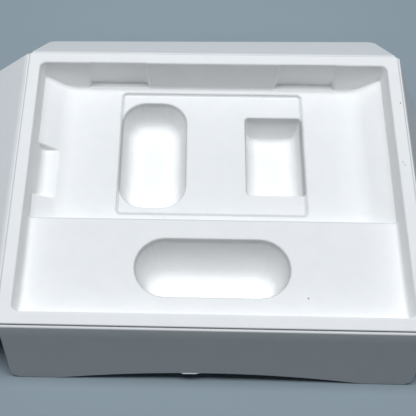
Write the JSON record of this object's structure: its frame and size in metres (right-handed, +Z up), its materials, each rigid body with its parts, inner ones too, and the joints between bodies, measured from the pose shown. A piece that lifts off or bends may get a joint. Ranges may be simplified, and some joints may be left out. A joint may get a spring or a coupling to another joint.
{
  "type": "molded pulp packaging insert",
  "caption": "White pressed pulp tray with a flat rim, front shelf, deeper basin, recessed pockets and folded-down flaps on all sides.",
  "frame": {"origin": "middle of the bounding box on the table plane", "axes": "+X to the right along the long rim, +Y from the shelf towards the back flap, +Z up"},
  "size_m": [0.3782, 0.299, 0.0583],
  "materials": {
    "pulp": "matte white pressed pulp, very fine grain"
  },
  "bodies": {
    "root": {"pulp_insert": "pulp"}
  },
  "joints": []
}
